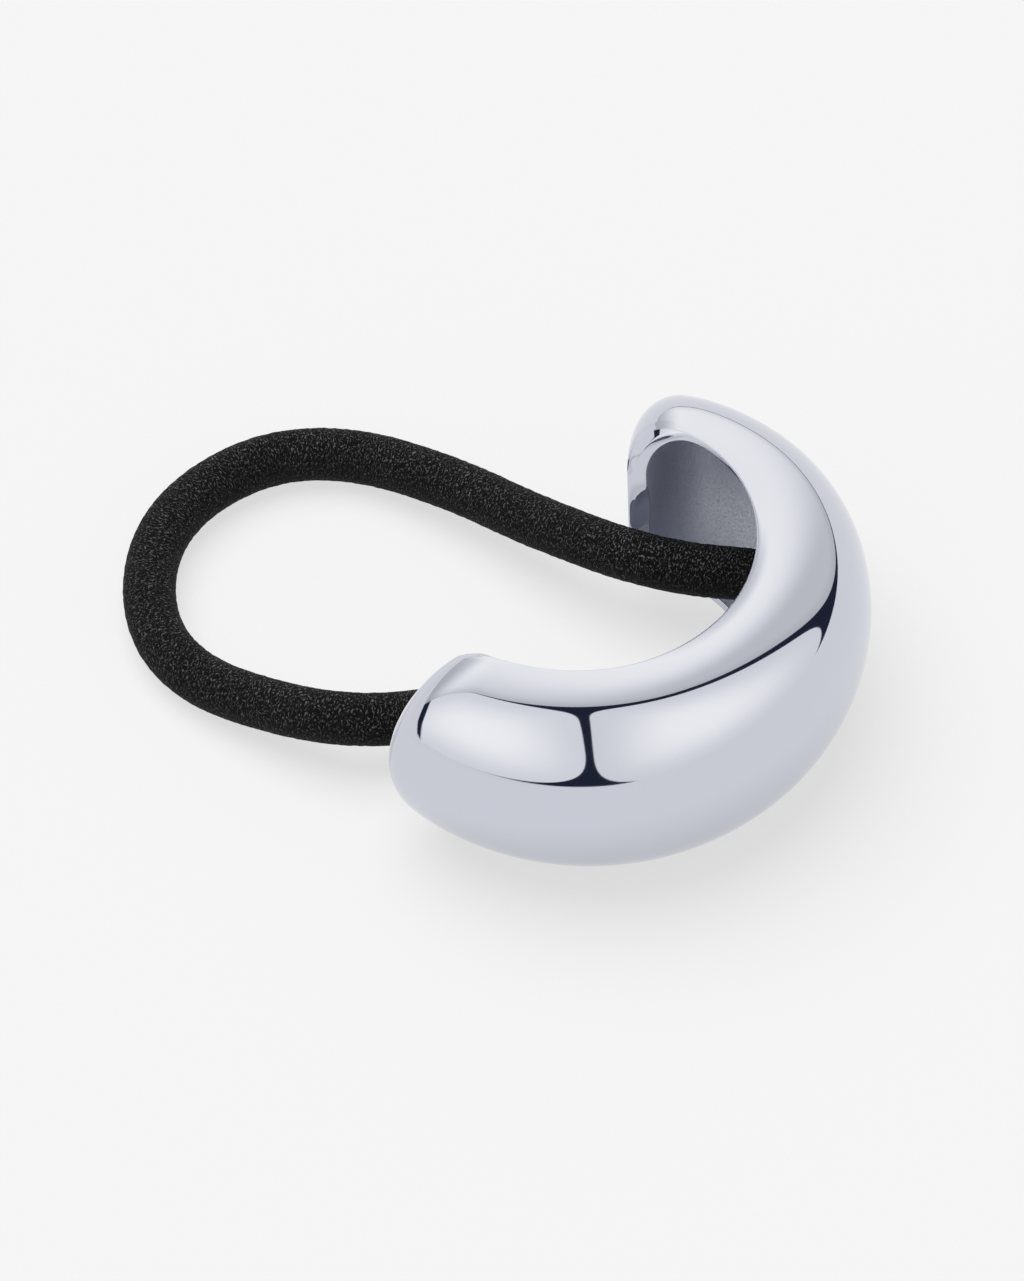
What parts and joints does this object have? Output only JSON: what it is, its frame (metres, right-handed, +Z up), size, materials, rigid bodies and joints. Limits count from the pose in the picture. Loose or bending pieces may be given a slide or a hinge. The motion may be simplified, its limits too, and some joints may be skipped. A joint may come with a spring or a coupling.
{
  "type": "ponytail cuff with elastic loop",
  "caption": "Hollow, puffy C-shaped metal ponytail cuff with smoothly closed ends and a knitted elastic loop held inside, lying on its side.",
  "frame": {"origin": "on the floor under the middle of the resting cuff's box, the elastic left out", "axes": "+Z up, +X from the near end of the C to the far end, -Y towards the bulge; the C opens towards +Y"},
  "size_m": [0.0532, 0.0718, 0.0218],
  "materials": {
    "polished_metal": "mirror polished outside and on the lip, satin cast inside",
    "sleeve_metal": "plain drawn tube",
    "elastic": "fine black knit over rubber"
  },
  "bodies": {
    "root": {"cuff_shell": "polished_metal", "elastic_sleeve": "sleeve_metal", "elastic_loop": "elastic"}
  },
  "joints": []
}
